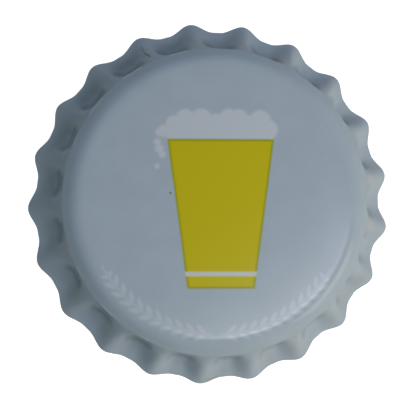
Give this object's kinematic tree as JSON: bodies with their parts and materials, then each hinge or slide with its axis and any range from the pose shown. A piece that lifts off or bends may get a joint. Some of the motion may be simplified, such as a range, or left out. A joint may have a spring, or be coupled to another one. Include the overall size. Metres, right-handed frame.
{
  "type": "bottle cap",
  "caption": "Pressed metal crown cork with a domed panel, a fluted skirt and a moulded sealing liner, as made and not yet crimped.",
  "frame": {"origin": "on the cap's axis, in the plane of the rim on which it stands", "axes": "+Z along the axis from the open rim towards the panel; +Y towards the top of the printed figure"},
  "size_m": [0.0319, 0.032, 0.006],
  "materials": {
    "lacquered_tinplate": "satin",
    "liner_compound": "matte"
  },
  "bodies": {
    "root": {"crown_shell": "lacquered_tinplate", "seal_liner": "liner_compound"}
  },
  "joints": []
}
